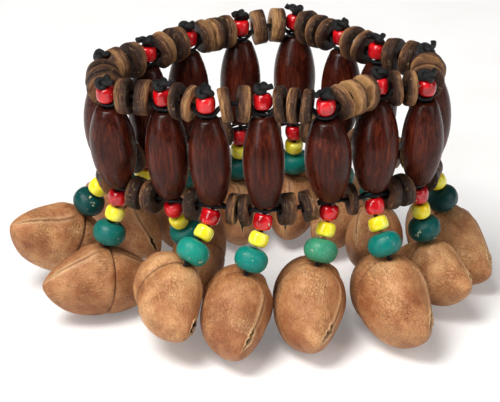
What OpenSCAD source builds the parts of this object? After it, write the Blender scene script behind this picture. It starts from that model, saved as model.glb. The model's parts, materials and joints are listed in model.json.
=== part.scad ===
// Shaker bracelet: a ring of standing wooden olive beads, two rows of coconut discs threaded
// on elastic cords, and hollow split nutshells hanging below on beaded strands.
// Units are millimetres. +Z is up, -Y is the front, Z = 0 is the table it stands on.

/* [Ring] */
// Half the width of the egg-shaped line that the pillars stand on
ring_half_w = 38.5; // [32:0.5:46]
// Half the depth of that line
ring_half_d = 27; // [24:0.5:36]
// How much fuller the front of the ring is than its back
ring_egg = 0.5; // [0.3:0.05:0.55]
// Height of the lower ring cords over the table
ring_z = 37.9; // [37.9:0.1:41]
// Thickness of one ring cord
ring_cord_d = 0.8; // [0.6:0.1:1]
// Thickness of a pillar's own cord
pillar_cord_d = 1.1; // [0.8:0.1:1.2]

/* [Coconut discs] */
// Diameter of an upper disc
disc_d = 9.4; // [8.4:0.1:9.6]
// How far the upper discs ride over the line between the pillars, on the shoulders of the olive beads
disc_lift = 2.4; // [2:0.1:2.6]
// Room that the upper discs leave on each side of a pillar cord
disc_clear = 3.4; // [3.4:0.1:4]
// Lean of the upper discs, whose lower edges keep off the olive beads
disc_lean = 6; // [4:1:8]
// Diameter of a lower disc
low_disc_d = 8.6; // [7:0.1:8.6]
// How far the lower discs hang below the line between the pillars
low_disc_drop = 0.7; // [0.5:0.1:1]
// Room that the lower discs leave on each side of a pillar cord
low_disc_clear = 4; // [4:0.1:4.8]
// Lean of the lower discs, whose upper edges keep off the olive beads
low_disc_lean = 4; // [2:1:6]
// Hole through a disc
disc_hole_d = 3.2; // [2.8:0.1:3.4]

/* [Olive beads] */
// Length of an olive bead
olive_len = 23.7; // [22.5:0.2:27]
// Thickest diameter of an olive bead, on the whole
olive_d = 11; // [10:0.1:11.2]
// Diameter of the olive bead at its ends
olive_end_d = 5.8; // [5.4:0.1:6.6]
// Hole along an olive bead
olive_hole_d = 2; // [1.6:0.1:2.4]

/* [Small beads] */
// Diameter of a red bead
red_d = 5; // [4.6:0.1:5.4]
// Height of a red bead
red_h = 4.1; // [3.8:0.1:4.4]
// Diameter of a yellow bead
yellow_d = 5.2; // [4.8:0.1:5.6]
// Height of a yellow bead
yellow_h = 3.5; // [3.4:0.1:4]
// Diameter of a green bead
green_d = 8.4; // [7.6:0.1:8.8]
// Height of a green bead
green_h = 5.3; // [5.2:0.1:6]

/* [Nutshells] */
// Half the length of a nutshell, across its two lobes
nut_half_l = 17.5; // [15:0.5:18]
// Height of a nutshell at its waist
nut_h = 20.4; // [18:0.2:21]
// Thickness of a nutshell at its waist
nut_t = 17.2; // [15:0.2:17.4]
// How far the tips of the lobes droop
nut_droop = 2.2; // [1:0.2:3]
// How far the tips of the lobes lean to the side of their ridge
nut_lean = 1.4; // [0:0.2:2]
// Wall of a nutshell
nut_wall = 1.3; // [1:0.1:1.6]
// Width of the split at a lobe's tip
slit_w = 1.1; // [0.8:0.1:1.4]

/* [Hidden] */
PILLARS = 15;
ROUND = 48;
FINE = 360;

// A pillar's move on the ring in x, y and z, then the lean of its top against its foot in x and y.
// Pillar 1 stands at the middle of the front, and the count goes round by the right.
PILLAR = [
    [-0.8, -1, -0.4, -0.6, 3.5],
    [1, -1, 0, -1.5, -4],
    [-0.8, 3, 0.4, 0.8, 4.4],
    [-0.4, 1, -1, 0.7, -2],
    [3.5, 3, 0, -1.8, -1.5],
    [-1, 0, -0.6, 0, -1],
    [1.2, 0, -0.8, 0, 1],
    [1, 2, -0.4, 0, 3.5],
    [0, 0, -1.1, 0, 2],
    [-1.8, -0.5, -1, 0, 1],
    [-1, -2, -0.6, 0, -1],
    [-2.6, 0, -0.9, -0.4, -1.5],
    [1.1, -2, -0.6, -2, -4],
    [3.2, 0, -0.6, -1.5, 0],
    [0, -1, -0.5, -1.5, -1],
];

// A pendant's lean in x and y from its pillar to its nutshell, the way that the outer lobe points,
// the dip of that lobe in degrees, the nutshell's size against the rest, and the way that its ridge
// faces round the line of the lobes, from 90 where it's tied.
PENDANT = [
    [-3.8, -3.9, -91, 18, 1.07, 20],
    [-2.6, -4.6, -89, 19, 1.09, 20],
    [3.4, -4.8, -72, 20, 1.13, 20],
    [2.2, 0.5, -56, -5, 0.88, 30],
    [3.6, 0.8, -61, 13, 1.05, 40],
    [0.5, -0.7, 73, 14, 0.9, 60],
    [0.1, 1.9, 59, -14, 0.88, 90],
    [0.1, 3, 79, -11, 0.95, 90],
    [-0.5, 2.2, 96, -3, 0.93, 90],
    [-1.9, 3.2, 118, -7, 0.95, 90],
    [-3.5, 3, 142, -14, 0.86, 60],
    [-5.9, 1.7, 200, -14, 0.98, 60],
    [-3.2, -1.6, 204, 3, 0.97, 60],
    [3.5, 5.3, 250, 14, 0.82, 60],
    [-5.6, -5.6, -72, 24, 0.96, 20],
];

// Thickness of each olive bead against the rest, in the same order.
OLIVE_SIZE = [0.97, 1.09, 1.1, 1, 1.02, 1.04, 1, 1.05, 1.02, 1.04, 1, 1.03, 1.09, 1.02, 0.98];

// Discs in each gap of the upper ring, from pillar 1 round by the right.
UPPER_DISCS = [3, 3, 2, 3, 2, 2, 3, 2, 3, 2, 2, 3, 2, 2, 2];
// Discs in each gap of the lower ring.
LOWER_DISCS = [2, 1, 2, 2, 2, 1, 2, 2, 2, 2, 2, 2, 2, 1, 2];

// Room between a cord's middle and the bead next to it along a pillar
cord_gap = 0.9;
// The same room over a lower red bead, which leans
low_gap = 1.1;
// Room between a red bead and the yellow one under it
bead_gap = 0.9;
// Room between the yellow and green beads, where a pendant swings
swing_gap = 0.7;
// Room between a green bead and its nutshell
tie_gap = 1.4;
// Length of a strand from its bend under the red bead to the nutshell
strand_len = bead_gap / 2 + yellow_h + swing_gap + green_h + tie_gap;
// How far a ring cord keeps from the middle of the pillar cord that it passes
pass_off = pillar_cord_d / 2 + ring_cord_d / 2 + 0.4;
// How far it keeps from the middle of the discs' holes
hole_off = ring_cord_d / 2 + 0.04;
// Hole through the small beads
bead_hole_d = pillar_cord_d + 0.7;
// Distance between the two ring cord levels along a pillar
pillar_span = olive_len + 2 * cord_gap;
// Size and cord thickness of the overhand knot on top
knot_k = 0.62;
knot_cord_d = 0.85;
knot_lift = 1.2;

// The ring

// The ring's middle, moved off the origin so that the whole piece stands centred on it
ring_mid = [4, 2.2];
function ring_at(t) = ring_mid + [
    ring_half_w * sin(t) * (1 + ring_egg * cos(t)),
    -ring_half_d * cos(t)
];
ring_steps = [
    for (t = 0, s = 0; t <= 360; s = s + norm(ring_at(t + 1) - ring_at(t)), t = t + 1) [s, t]
];
ring_len = ring_steps[360][0];

function unit(v) = v / norm(v);
function flat_normal(v) = unit([v[1], -v[0], 0]);
function wrap(i) = (i + PILLARS) % PILLARS;

function pillar_plan(i) = ring_at(lookup(i * ring_len / PILLARS, ring_steps));
function lean(i) = [PILLAR[i][3], PILLAR[i][4]];
function rise(i) = sqrt(pow(pillar_span, 2) - pow(norm(lean(i)), 2));
function low_pt(i) = [
    pillar_plan(i)[0] + PILLAR[i][0] - lean(i)[0] / 2,
    pillar_plan(i)[1] + PILLAR[i][1] - lean(i)[1] / 2,
    ring_z + PILLAR[i][2]
];
function top_pt(i) = low_pt(i) + [lean(i)[0], lean(i)[1], rise(i)];
function pillar_dir(i) = unit(top_pt(i) - low_pt(i));
function ring_pt(i, upper) = upper ? top_pt(wrap(i)) : low_pt(wrap(i));

// The strands below the ring

function strand_dir(i) = unit([
    PENDANT[i][0],
    PENDANT[i][1],
    -sqrt(pow(strand_len, 2) - pow(PENDANT[i][0], 2) - pow(PENDANT[i][1], 2))
]);
function red_dir(i) = unit(strand_dir(i) - pillar_dir(i));
function low_red_pt(i) = low_pt(i) + red_dir(i) * (low_gap + red_h / 2);
function bend_pt(i) = low_pt(i) + red_dir(i) * (low_gap + red_h + bead_gap / 2);
function yellow_pt(i) = bend_pt(i) + strand_dir(i) * (bead_gap / 2 + yellow_h / 2);
function swing_pt(i) = bend_pt(i) + strand_dir(i) * (bead_gap / 2 + yellow_h + swing_gap / 2);
function green_pt(i) = swing_pt(i) + strand_dir(i) * (swing_gap / 2 + green_h / 2);
function tie_pt(i) = bend_pt(i) + strand_dir(i) * strand_len;

// A nutshell's own axes: z hangs between the strand and the plumb line, x runs through the lobes
plumb = 0.6;
function nut_size(i) = PENDANT[i][4];
function hang_z(i) = unit([0, 0, plumb] - strand_dir(i));
function lobe_way(i) = [cos(PENDANT[i][2]), sin(PENDANT[i][2]), 0];
function hang_y(i) = unit(cross(hang_z(i), lobe_way(i)));
function hang_x(i) = cross(hang_y(i), hang_z(i));
function nut_x(i) = hang_x(i) * cos(PENDANT[i][3]) - hang_z(i) * sin(PENDANT[i][3]);
function nut_z(i) = hang_x(i) * sin(PENDANT[i][3]) + hang_z(i) * cos(PENDANT[i][3]);
function nut_pt(i) = tie_pt(i) - nut_z(i) * nut_size(i) * nut_h / 2;

// Placing and sweeping

module along(p, d) {
    translate(p)
        rotate([0, acos(d[2]), atan2(d[1], d[0])])
            children();
}

// A tube through the points of path, with one radius for each, closed into a loop or with capped ends
module tube(path, radii, sides, loop) {
    n = len(path);
    last = loop ? n : n - 1;
    way = [
        for (i = [0:n - 1])
            let (a = loop ? (i + n - 1) % n : max(i - 1, 0), b = loop ? (i + 1) % n : min(i + 1, n - 1))
            unit(path[b] - path[a])
    ];
    side = [
        for (i = 0, u = unit(cross(way[0], [1, 0, 0])); i < n;
            i = i + 1, u = unit(u - way[min(i, n - 1)] * (u * way[min(i, n - 1)])))
            loop ? unit(cross(way[i], [0, 0, 1])) : u
    ];
    points = [
        for (i = [0:n - 1])
            let (u = side[i], v = cross(u, way[i]))
            for (j = [0:sides - 1])
                path[i] + (u * cos(360 * j / sides) + v * sin(360 * j / sides)) * radii[i]
    ];
    walls = [
        for (i = [0:last - 1])
            for (j = [0:sides - 1])
                let (a = i * sides, b = (i + 1) % n * sides, k = (j + 1) % sides)
                [a + j, a + k, b + k, b + j]
    ];
    caps = [
        [for (j = [0:sides - 1]) sides - 1 - j],
        [for (j = [0:sides - 1]) (n - 1) * sides + j]
    ];
    polyhedron(points, loop ? walls : concat(walls, caps), convexity = 6);
}

// Ring cords

// The bends of a ring cord from a pillar to the discs: how far it has gone, how much of its bow round the
// pillar cord is left, and how much of the way up or down to the discs' holes it has come
CORD_BENDS = [
    [0, 1, 0],
    [1.6, 0.75, 0],
    [3.4, 0, 0.66],
    [5.2, 0, 1],
];

// The way that a pillar would lean between two pillars, from side -1 at the first to 1 at the second
function post_at(i, side) = unit(pillar_dir(i) * (1 - side) + pillar_dir(wrap(i + 1)) * (1 + side));

// How far the discs' holes are from the line between two pillars, at a share of the way along it
function hole_rise(i, upper, share) = post_at(i, 2 * share - 1) * (upper ? disc_lift : -low_disc_drop);

// One of the two cords of a ring: it bows out round each pillar cord and runs beside its twin elsewhere
function ring_cord_path(upper, side) = [
    for (i = [0:PILLARS - 1])
        let (
            a = ring_pt(i, upper),
            b = ring_pt(i + 1, upper),
            span = norm(b - a),
            before = flat_normal(a - ring_pt(i - 1, upper)),
            here = flat_normal(b - a)
        )
        for (k = [0:2 * len(CORD_BENDS) - 2])
            let (
                bend = CORD_BENDS[min(k, 2 * len(CORD_BENDS) - 1 - k)],
                share = k < len(CORD_BENDS) ? bend[0] / span : 1 - bend[0] / span
            )
            a + (b - a) * share
            + hole_rise(i, upper, share) * bend[2]
            + side * (k == 0 ? unit(before + here) : here)
            * (hole_off + (pass_off - hole_off) * bend[1])
];

module ring_cords(upper) {
    for (side = [-1, 1]) {
        path = ring_cord_path(upper, side);
        tube(path, [for (p = path) ring_cord_d / 2], 6, true);
    }
}

module upper_ring_cords() {
    color("#15161a")
        ring_cords(true);
}

module lower_ring_cords() {
    color("#15161a")
        ring_cords(false);
}

// Coconut discs

module disc(d, h) {
    edge = min(0.45, h / 3);
    rotate_extrude($fn = ROUND)
        polygon([
            [disc_hole_d / 2, -h / 2],
            [d / 2 - edge, -h / 2],
            [d / 2, -h / 2 + edge],
            [d / 2, h / 2 - edge],
            [d / 2 - edge, h / 2],
            [disc_hole_d / 2, h / 2],
        ]);
}

function square_to(v, post) = unit(v - post * (v * post));

module disc_row(upper) {
    play = 0.24;
    max_h = 3.4;
    yaw = 1;
    size_step = 0.02;
    d = upper ? disc_d : low_disc_d;
    clear = upper ? disc_clear : low_disc_clear;
    lean = upper ? disc_lean : -low_disc_lean;
    for (i = [0:PILLARS - 1]) {
        a = ring_pt(i, upper);
        b = ring_pt(i + 1, upper);
        span = norm(b - a);
        count = upper ? UPPER_DISCS[i] : LOWER_DISCS[i];
        twist = acos(min(1, square_to(b - a, post_at(i, -1)) * square_to(b - a, post_at(i, 1))));
        room = span - 2 * clear - d * (tan(abs(lean)) + sin(twist / 2));
        h = min(max_h, room / count - play);
        for (k = [0:count - 1]) {
            side = count > 1 ? 2 * k / (count - 1) - 1 : 0;
            wobble = sin(137 * i + 71 * k);
            share = 0.5 + side * (0.5 - (clear + h / cos(lean) / 2) / span);
            post = post_at(i, side);
            spot = a + (b - a) * share + hole_rise(i, upper, share);
            along(spot, unit(square_to(b - a, post) - post * side * tan(lean)))
                rotate([yaw * wobble, 0, 0])
                    disc(d * (1 - size_step * (1 + wobble)), h);
        }
    }
}

module upper_discs() {
    color("#7a5634")
        disc_row(true);
}

module lower_discs() {
    color("#7a5634")
        disc_row(false);
}

// Beads

module small_bead(d, h) {
    over = 1.12;
    difference() {
        intersection() {
            sphere(d = d * over, $fn = ROUND);
            cylinder(d = d, h = h, center = true, $fn = ROUND);
        }
        cylinder(d = bead_hole_d, h = h + 1, center = true, $fn = ROUND);
    }
}

module top_red_beads() {
    color("#e3202b")
        for (i = [0:PILLARS - 1])
            along(top_pt(i) + pillar_dir(i) * (cord_gap + red_h / 2), pillar_dir(i))
                small_bead(red_d, red_h);
}

module lower_red_beads() {
    color("#e3202b")
        for (i = [0:PILLARS - 1])
            along(low_red_pt(i), red_dir(i))
                small_bead(red_d, red_h);
}

module yellow_beads() {
    color("#f7dc22")
        for (i = [0:PILLARS - 1])
            along(yellow_pt(i), strand_dir(i))
                small_bead(yellow_d, yellow_h);
}

// A spindle-shaped bead that turns on its pillar cord
module olive_bead(i) {
    wide = olive_d * OLIVE_SIZE[i];
    rim = (wide - olive_end_d) / 2;
    bow = (pow(olive_len / 2, 2) + pow(rim, 2)) / (2 * rim);
    color("#4a1c12")
        along(low_pt(i) + pillar_dir(i) * pillar_span / 2, pillar_dir(i))
            rotate_extrude($fn = ROUND)
                difference() {
                    intersection() {
                        translate([wide / 2 - bow, 0])
                            circle(r = bow, $fn = FINE);
                        translate([0, -olive_len / 2])
                            square([wide, olive_len]);
                    }
                    translate([-wide, -olive_len])
                        square([wide + olive_hole_d / 2, 2 * olive_len]);
                }
}

// Pillar cords, each with the overhand knot that stops its top red bead

function knot_turn(s) = knot_k * [sin(s) + 2 * sin(2 * s), cos(s) - 2 * cos(2 * s), sin(3 * s)];
knot_end = 285;
knot_step = 15;
knot_tail = [[-0.75, -0.1, 0], [-1.7, -0.3, 0.25]];
knot_path = concat(
    [for (s = [0:knot_step:knot_end]) knot_turn(s)],
    [for (t = knot_tail) knot_turn(knot_end) + t]
);

// A point of the knot, stood on top of pillar i
function on_pillar(i, q) =
    let (
        z = pillar_dir(i),
        spin = 77 * i + 40,
        x = unit(cross([sin(spin), cos(spin), 0], z)),
        y = cross(z, x)
    )
    top_pt(i) + z * (cord_gap + red_h + knot_lift + q[2]) + x * q[0] + y * q[1];

module pillar_cords() {
    color("#15161a")
        for (i = [0:PILLARS - 1]) {
            line = [
                yellow_pt(i) + strand_dir(i) * yellow_h / 2,
                bend_pt(i) + strand_dir(i) * bead_gap,
                bend_pt(i) - red_dir(i) * bead_gap,
                low_pt(i) + red_dir(i) * low_gap,
                low_pt(i) + pillar_dir(i) * cord_gap,
                top_pt(i) + pillar_dir(i) * (cord_gap + red_h - 0.5),
            ];
            tie = [for (q = knot_path) on_pillar(i, q)];
            tube(
                concat(line, tie),
                concat([for (p = line) pillar_cord_d / 2], [for (p = tie) knot_cord_d / 2]),
                6,
                false
            );
        }
}

// Pendants

// The green bead, and the end of the cord with the stopper knot that holds its nutshell
module green_bead(i) {
    round_r = 0.52 * green_h;
    stopper_d = 3;
    reach = tie_gap + nut_wall * 3.5 + stopper_d / 2;
    along(green_pt(i), strand_dir(i)) {
        color("#0d7a6c")
            rotate_extrude($fn = ROUND)
                intersection() {
                    translate([green_d / 2 - round_r, 0])
                        circle(r = round_r, $fn = FINE);
                    translate([bead_hole_d / 2, -green_h / 2])
                        square([green_d, green_h]);
                }
        color("#15161a") {
            translate([0, 0, -green_h / 2 - 0.1])
                cylinder(d = pillar_cord_d, h = green_h + 0.1 + reach, $fn = ROUND);
            translate([0, 0, green_h / 2 + reach])
                sphere(d = stopper_d, $fn = ROUND);
        }
    }
}

// The swell of a lobe from the waist (0) to its tip (1)
function lobe(f) = pow(max(1 - pow(f, 1.85), 0), 0.7);

// How far a lobe leans over to the side of its ridge, from the waist (0) to its tip (1)
function ridge_lean(f) = nut_lean * pow(f, 2) - 0.6 * nut_lean * sin(180 * f);

// A nut's skin, drawn in loops of sides points from tip to tip at the stations f, the first on the ridge
module nut_skin(half_l, half_t, half_h, stations, waist, keel, ridge, sides) {
    n = len(stations);
    way = [0, cos(ridge), sin(ridge)];
    tips = [
        for (side = [-1, 1])
            [side * half_l, 0, -nut_droop] + way * ridge_lean(1)
    ];
    loops = [
        for (f = stations)
            let (
                a = abs(f),
                pinch = a < 0.01 ? waist : 0
            )
            for (j = [0:sides - 1])
                let (
                    turn = ridge + 360 * j / sides,
                    swell = lobe(a) * (j == 0 ? 1 + keel * a : 1)
                )
                [
                    f * half_l,
                    (half_t - pinch) * swell * cos(turn),
                    (half_h - pinch) * swell * sin(turn) - nut_droop * pow(a, 1.5)
                ]
                + way * ridge_lean(a)
    ];
    walls = [
        for (i = [0:n - 2])
            for (j = [0:sides - 1])
                let (a = 2 + i * sides, b = 2 + (i + 1) * sides, k = (j + 1) % sides)
                each [[a + j, b + k, a + k], [a + j, b + j, b + k]]
    ];
    ends = [
        for (j = [0:sides - 1])
            let (k = (j + 1) % sides, z = 2 + (n - 1) * sides)
            each [[0, 2 + j, 2 + k], [1, z + k, z + j]]
    ];
    polyhedron(concat(tips, loops), concat(walls, ends), convexity = 4);
}

// A hollow shell of two lobes, tied through its waist, with a split at each tip
module nutshell(i) {
    outer = [-0.98, -0.9, -0.74, -0.52, -0.28, -0.07, 0, 0.07, 0.28, 0.52, 0.74, 0.9, 0.98];
    inner = [-0.95, -0.75, -0.4, 0, 0.4, 0.75, 0.95];
    waist_groove = 0.5;
    tie_hole_d = 3;
    keel = 0.06;
    slit_l = 6;
    slit_h = 7;
    ridge = PENDANT[i][5];
    x = nut_x(i);
    z = nut_z(i);
    y = cross(z, x);
    c = nut_pt(i);
    color("#c4966c")
        difference() {
            multmatrix([
                [x[0], y[0], z[0], c[0]],
                [x[1], y[1], z[1], c[1]],
                [x[2], y[2], z[2], c[2]],
                [0, 0, 0, 1],
            ])
                scale(nut_size(i))
                    difference() {
                        nut_skin(nut_half_l, nut_t / 2, nut_h / 2, outer, waist_groove, keel, ridge, 14);
                        nut_skin(nut_half_l - 1.6 * nut_wall, nut_t / 2 - nut_wall, nut_h / 2 - nut_wall,
                            inner, 0, 0, ridge, 10);
                        for (side = [-1, 1])
                            translate([side * (nut_half_l - slit_l / 2 + 0.5), 0, -nut_droop])
                                rotate([ridge, 0, 0])
                                    translate([0, slit_h / 2 + ridge_lean(1) - 1, 0])
                                        cube([slit_l + 1, slit_h, slit_w], center = true);
                    }
            along(tie_pt(i) - strand_dir(i) * tie_gap, strand_dir(i))
                cylinder(d = tie_hole_d, h = nut_h / 2, $fn = ROUND);
        }
}

// Piece to draw

upper_ring_cords();
lower_ring_cords();
pillar_cords();
upper_discs();
lower_discs();
top_red_beads();
lower_red_beads();
yellow_beads();
olive_bead(0);  // olive_bead_01
olive_bead(1);  // olive_bead_02
olive_bead(2);  // olive_bead_03
olive_bead(3);  // olive_bead_04
olive_bead(4);  // olive_bead_05
olive_bead(5);  // olive_bead_06
olive_bead(6);  // olive_bead_07
olive_bead(7);  // olive_bead_08
olive_bead(8);  // olive_bead_09
olive_bead(9);  // olive_bead_10
olive_bead(10);  // olive_bead_11
olive_bead(11);  // olive_bead_12
olive_bead(12);  // olive_bead_13
olive_bead(13);  // olive_bead_14
olive_bead(14);  // olive_bead_15
green_bead(0);  // green_bead_01
green_bead(1);  // green_bead_02
green_bead(2);  // green_bead_03
green_bead(3);  // green_bead_04
green_bead(4);  // green_bead_05
green_bead(5);  // green_bead_06
green_bead(6);  // green_bead_07
green_bead(7);  // green_bead_08
green_bead(8);  // green_bead_09
green_bead(9);  // green_bead_10
green_bead(10);  // green_bead_11
green_bead(11);  // green_bead_12
green_bead(12);  // green_bead_13
green_bead(13);  // green_bead_14
green_bead(14);  // green_bead_15
nutshell(0);  // nutshell_01
nutshell(1);  // nutshell_02
nutshell(2);  // nutshell_03
nutshell(3);  // nutshell_04
nutshell(4);  // nutshell_05
nutshell(5);  // nutshell_06
nutshell(6);  // nutshell_07
nutshell(7);  // nutshell_08
nutshell(8);  // nutshell_09
nutshell(9);  // nutshell_10
nutshell(10);  // nutshell_11
nutshell(11);  // nutshell_12
nutshell(12);  // nutshell_13
nutshell(13);  // nutshell_14
nutshell(14);  // nutshell_15
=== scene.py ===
import json
import math
import random

import bpy
import numpy as np
from mathutils import Matrix, Vector, noise


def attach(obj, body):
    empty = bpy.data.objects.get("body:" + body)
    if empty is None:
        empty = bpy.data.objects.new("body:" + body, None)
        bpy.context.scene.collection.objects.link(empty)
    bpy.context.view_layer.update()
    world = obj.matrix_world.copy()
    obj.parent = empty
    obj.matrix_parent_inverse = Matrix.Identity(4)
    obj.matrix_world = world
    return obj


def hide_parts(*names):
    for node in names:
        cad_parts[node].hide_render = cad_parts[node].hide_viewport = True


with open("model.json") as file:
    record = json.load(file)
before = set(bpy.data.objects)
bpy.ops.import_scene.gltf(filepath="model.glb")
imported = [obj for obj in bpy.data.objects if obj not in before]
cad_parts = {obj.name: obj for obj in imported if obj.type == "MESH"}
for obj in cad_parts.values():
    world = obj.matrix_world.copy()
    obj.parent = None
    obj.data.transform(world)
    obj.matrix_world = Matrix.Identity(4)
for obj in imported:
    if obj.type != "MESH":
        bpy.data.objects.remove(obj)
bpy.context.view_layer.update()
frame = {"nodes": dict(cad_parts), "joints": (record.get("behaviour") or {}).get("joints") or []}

# Ring cords
# Two waxed black cords run side by side round the bracelet, at the top and at the bottom of the upright
# beads. They thread the coconut discs and part round every upright cord, and so hold the uprights in place.

PILLARS = 15
MM = 0.001
joint = {j["name"]: j for j in frame["joints"]}


def corners(node):
    """The corner points of a CAD node, in metres."""
    mesh = frame["nodes"][node].data
    flat = np.empty(3 * len(mesh.vertices))
    mesh.vertices.foreach_get("co", flat)
    return flat.reshape(-1, 3)


def unit(v):
    return v / np.linalg.norm(v)


def level(v):
    """The level direction square to v."""
    return unit(np.array((v[1], -v[0], 0.0)))


def number(i):
    return f"{i + 1:02d}"


# Where each upright cord crosses the lower and the upper ring, and the way it leans
foot, upright, head = [], [], []
for i in range(PILLARS):
    turn = joint["olive_spin_" + number(i)]
    foot.append(np.array(turn["pos_m"]))
    upright.append(unit(np.array(turn["axis"])))
    reach = (corners("olive_bead_" + number(i)) - foot[i]) @ upright[i]
    head.append(foot[i] + upright[i] * (reach.min() + reach.max()))


ring_cord_d = 0.85
past_upright = 1.35
# On each side of an upright cord: how far along, how far off the middle, in mm, and the share of the rise
cord_bends = ((1.6, 1.1, 0.0), (3.4, 0.46, 0.66), (5.2, 0.46, 1.0))


def ring_line(posts, side, rise):
    """The points that one ring cord passes: out round every upright cord, then in to the discs' holes."""
    line = []
    for i in range(PILLARS):
        j = (i + 1) % PILLARS
        here, after = posts[i], posts[j]
        span = np.linalg.norm(after - here)
        across = level(after - here)
        at_post = unit(level(here - posts[i - 1]) + across)
        line.append(here + at_post * side * past_upright * MM)
        bends = [(gone * MM / span, off, risen) for gone, off, risen in cord_bends]
        bends += [(1 - share, off, risen) for share, off, risen in reversed(bends)]
        for share, off, risen in bends:
            post = unit(upright[i] * (1 - share) + upright[j] * share)
            spot = here + (after - here) * share + across * side * off * MM
            line.append(spot + post * rise * risen * MM)
    return line


def smooth_line(points, step, loop=False):
    """Closely spaced points on a smooth curve through the given ones."""
    n = len(points)
    found = []
    for i in range(n if loop else n - 1):
        b, c = points[i], points[(i + 1) % n]
        a = points[i - 1] if loop or i else b - (c - b)
        d = points[(i + 2) % n] if loop or i + 2 < n else c + (c - b)
        ab, bc, cd = (np.linalg.norm(v) for v in (b - a, c - b, d - c))
        leave = (c - a) / (ab + bc) * bc
        arrive = (d - b) / (bc + cd) * bc
        cuts = max(2, round(bc / step))
        for k in range(cuts):
            t = k / cuts
            found.append(
                b * (2 * t**3 - 3 * t**2 + 1)
                + leave * (t**3 - 2 * t**2 + t)
                + c * (3 * t**2 - 2 * t**3)
                + arrive * (t**3 - t**2)
            )
    if not loop:
        found.append(points[-1])
    return found


def laid_cord(line, thick, sides=12, loop=False, piece=0.5, finish=0):
    """A three-ply cord along a line. Its own axes are the way along it and its cross-section."""
    n = len(line)
    ply_twist = 2 * math.pi / (2.6 * MM)
    points, own, faces = [], [], []
    gone = 0.0
    side = None
    for i in range(n):
        before = line[i - 1] if loop or i else line[i]
        after = line[(i + 1) % n] if loop or i + 1 < n else line[i]
        way = unit(after - before)
        if loop:
            side = unit(np.cross(way, (0.0, 0.0, 1.0)))
        else:
            start = (1.0, 0.0, 0.0) if abs(way[0]) < 0.8 else (0.0, 1.0, 0.0)
            last = np.array(start) if side is None else side
            side = unit(last - way * (last @ way))
        other = np.cross(way, side)
        if i:
            gone += np.linalg.norm(line[i] - line[i - 1])
        for j in range(sides):
            around = 2 * math.pi * j / sides
            radius = thick / 2 * (1 + 0.07 * math.cos(3 * around - ply_twist * gone))
            points.append(line[i] + (side * math.cos(around) + other * math.sin(around)) * radius)
            own.append((gone / MM, radius / MM * math.cos(around), radius / MM * math.sin(around)))
    for i in range(n if loop else n - 1):
        a, b = i * sides, (i + 1) % n * sides
        for j in range(sides):
            k = (j + 1) % sides
            faces.append((a + j, a + k, b + k, b + j))
    if not loop:
        faces.append(tuple(range(sides - 1, -1, -1)))
        faces.append(tuple(range((n - 1) * sides, n * sides)))
    return {"points": points, "faces": faces, "own": own, "piece": piece, "finish": finish}


def gather(name, parts, finishes, body, node):
    """One piece from parts that are already in place. It rides on a body and stands for a CAD node."""
    points, faces, own, tally, which = [], [], [], [], []
    marks = {}
    for part in parts:
        first = len(points)
        points.extend(tuple(p) for p in part["points"])
        faces.extend(tuple(first + k for k in face) for face in part["faces"])
        own.extend(part["own"])
        tally.extend([part["piece"]] * len(part["points"]))
        which.extend([part["finish"]] * len(part["faces"]))
        for mark, values in part.get("marks", {}).items():
            marks.setdefault(mark, [0.0] * first).extend(values)
        for mark in marks:
            marks[mark].extend([0.0] * (len(points) - len(marks[mark])))
    mesh = bpy.data.meshes.new(name)
    mesh.from_pydata(points, [], faces)
    for finish in finishes:
        mesh.materials.append(finish)
    mesh.polygons.foreach_set("material_index", which)
    mesh.polygons.foreach_set("use_smooth", [True] * len(faces))
    spot = mesh.attributes.new("own", "FLOAT_VECTOR", "POINT")
    spot.data.foreach_set("vector", np.array(own, dtype=np.float32).ravel())
    for mark, values in {"piece": tally, **marks}.items():
        spot = mesh.attributes.new(mark, "FLOAT", "POINT")
        spot.data.foreach_set("value", np.array(values, dtype=np.float32))
    mesh.update()
    made = bpy.data.objects.new(name, mesh)
    bpy.context.scene.collection.objects.link(made)
    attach(made, body)
    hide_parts(node)
    return made


def tint(red, green, blue):
    """A colour as it shows, 0 to 255, in the shader's own scale."""
    shares = (c / 255 for c in (red, green, blue))
    return tuple(s / 12.92 if s < 0.04 else ((s + 0.055) / 1.055) ** 2.4 for s in shares) + (1.0,)


def put(tree, kind, sockets=None, **settings):
    """Add a shader node, and fill its sockets with values or with the outputs of other nodes."""
    made = tree.nodes.new("ShaderNode" + kind)
    for setting, value in settings.items():
        setattr(made, setting, value)
    for name, value in (sockets or {}).items():
        if isinstance(value, bpy.types.NodeSocket):
            tree.links.new(value, made.inputs[name])
        else:
            made.inputs[name].default_value = value
    return made


def shade_by(tree, value, stops):
    """A colour that follows a value through the given stops."""
    made = put(tree, "ValToRGB", {"Fac": value})
    line = made.color_ramp.elements
    line[0].position, line[0].color = stops[0]
    line[1].position, line[1].color = stops[-1]
    for place, colour in stops[1:-1]:
        line.new(place).color = colour
    return made.outputs["Color"]


def over(tree, share, under, top, way="MIX"):
    """One colour laid over another by a share."""
    return put(tree, "Mix", {0: share, 6: under, 7: top}, data_type="RGBA", blend_type=way).outputs[2]


def between(tree, value, low, high, to_low=0.0, to_high=1.0):
    """A value spread from one range to another, and held at its ends."""
    made = put(tree, "MapRange", {0: value, 1: low, 2: high, 3: to_low, 4: to_high})
    return made.outputs[0]


def plus(tree, a, b):
    return put(tree, "Math", {0: a, 1: b}, operation="ADD").outputs[0]


def minus(tree, a, b):
    return put(tree, "Math", {0: a, 1: b}, operation="SUBTRACT").outputs[0]


def times(tree, a, b):
    return put(tree, "Math", {0: a, 1: b}, operation="MULTIPLY").outputs[0]


def mark_of(tree, mark):
    return put(tree, "Attribute", attribute_name=mark).outputs["Fac"]


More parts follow.
